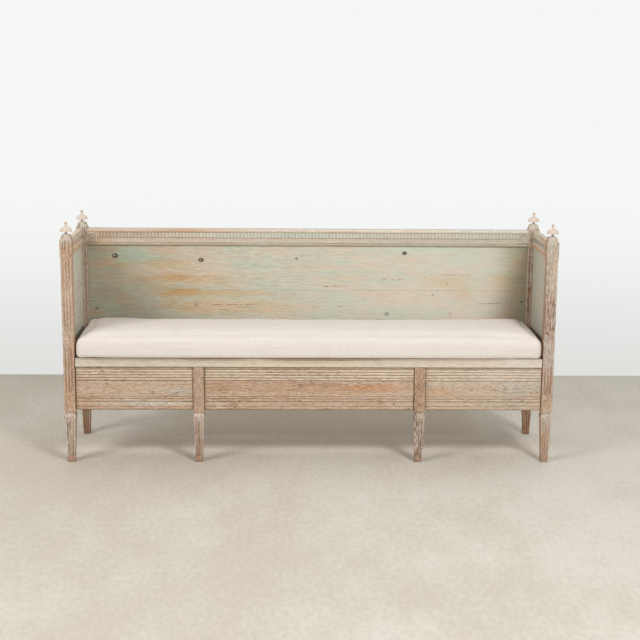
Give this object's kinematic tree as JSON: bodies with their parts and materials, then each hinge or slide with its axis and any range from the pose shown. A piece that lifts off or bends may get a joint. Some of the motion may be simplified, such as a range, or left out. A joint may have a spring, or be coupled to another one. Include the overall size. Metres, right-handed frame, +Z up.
{
  "type": "bench",
  "caption": "Long box-sided wooden bench with fluted posts, finials, boarded back and sides, a cushion on a lift-off seat lid, and a front box that pulls out on its own legs.",
  "frame": {"origin": "on the floor, in the middle of the bench's length and depth", "axes": "+X along the length to the sitter's left, +Y to the back, +Z up"},
  "size_m": [1.9024, 0.4524, 0.941],
  "materials": {
    "scraped_wood": "dry-scraped pine with traces of old paint, matte",
    "pale_wood": "pale dry wood, matte",
    "rail_paint": "worn grey-beige paint on pine, matte",
    "green_paint": "worn grey-green paint on pine, matte",
    "inner_wood": "plain aged pine, matte",
    "peg_wood": "end grain of wooden pegs, matte",
    "cream_paint": "worn cream paint, matte",
    "linen": "off-white slubbed linen"
  },
  "bodies": {
    "frame": {"front_post_left": "scraped_wood", "front_post_right": "scraped_wood", "rear_post_left": "scraped_wood", "rear_post_right": "scraped_wood", "finial_front_left": "pale_wood", "finial_front_right": "pale_wood", "finial_rear_left": "pale_wood", "finial_rear_right": "pale_wood", "back_top_rail": "rail_paint", "back_cap_strip": "pale_wood", "dentil_strip": "rail_paint", "rosette_left": "rail_paint", "rosette_right": "rail_paint", "back_board_upper": "green_paint", "back_board_lower": "green_paint", "back_lower_rail": "scraped_wood", "back_ledger": "inner_wood", "side_top_rail_left": "rail_paint", "side_top_rail_right": "rail_paint", "side_board_upper_left": "green_paint", "side_board_upper_right": "green_paint", "side_board_lower_left": "green_paint", "side_board_lower_right": "green_paint", "side_lower_rail_left": "scraped_wood", "side_lower_rail_right": "scraped_wood", "side_ledger_left": "inner_wood", "side_ledger_right": "inner_wood", "front_rail": "inner_wood", "runner_left": "inner_wood", "runner_right": "inner_wood", "guide_left": "inner_wood", "guide_right": "inner_wood", "tenon_pegs": "peg_wood"},
    "pull_out_box": {"front_apron": "scraped_wood", "middle_leg_left": "scraped_wood", "middle_leg_right": "scraped_wood", "box_side_left": "inner_wood", "box_side_right": "inner_wood", "box_back": "inner_wood", "box_floor_front": "inner_wood", "box_floor_rear": "inner_wood", "box_bearer_left": "inner_wood", "box_bearer_middle": "inner_wood", "box_bearer_right": "inner_wood"},
    "seat_lid": {"lid_nosing": "cream_paint", "lid_board_front": "cream_paint", "lid_board_rear": "cream_paint", "lid_cleat_left": "inner_wood", "lid_cleat_middle": "inner_wood", "lid_cleat_right": "inner_wood"},
    "cushion": {"seat_cushion": "linen"}
  },
  "joints": [
    {"name": "box_pull", "type": "slide", "parent": "frame", "child": "pull_out_box", "axis": [0, -1, 0], "range_m": [0, 0.31]},
    {"name": "lid_lift", "type": "slide", "parent": "frame", "child": "seat_lid", "axis": [0, 0, 1], "range_m": [0, 0.6]},
    {"name": "cushion_lift", "type": "slide", "parent": "seat_lid", "child": "cushion", "axis": [0, 0, 1], "range_m": [0, 0.55]}
  ]
}
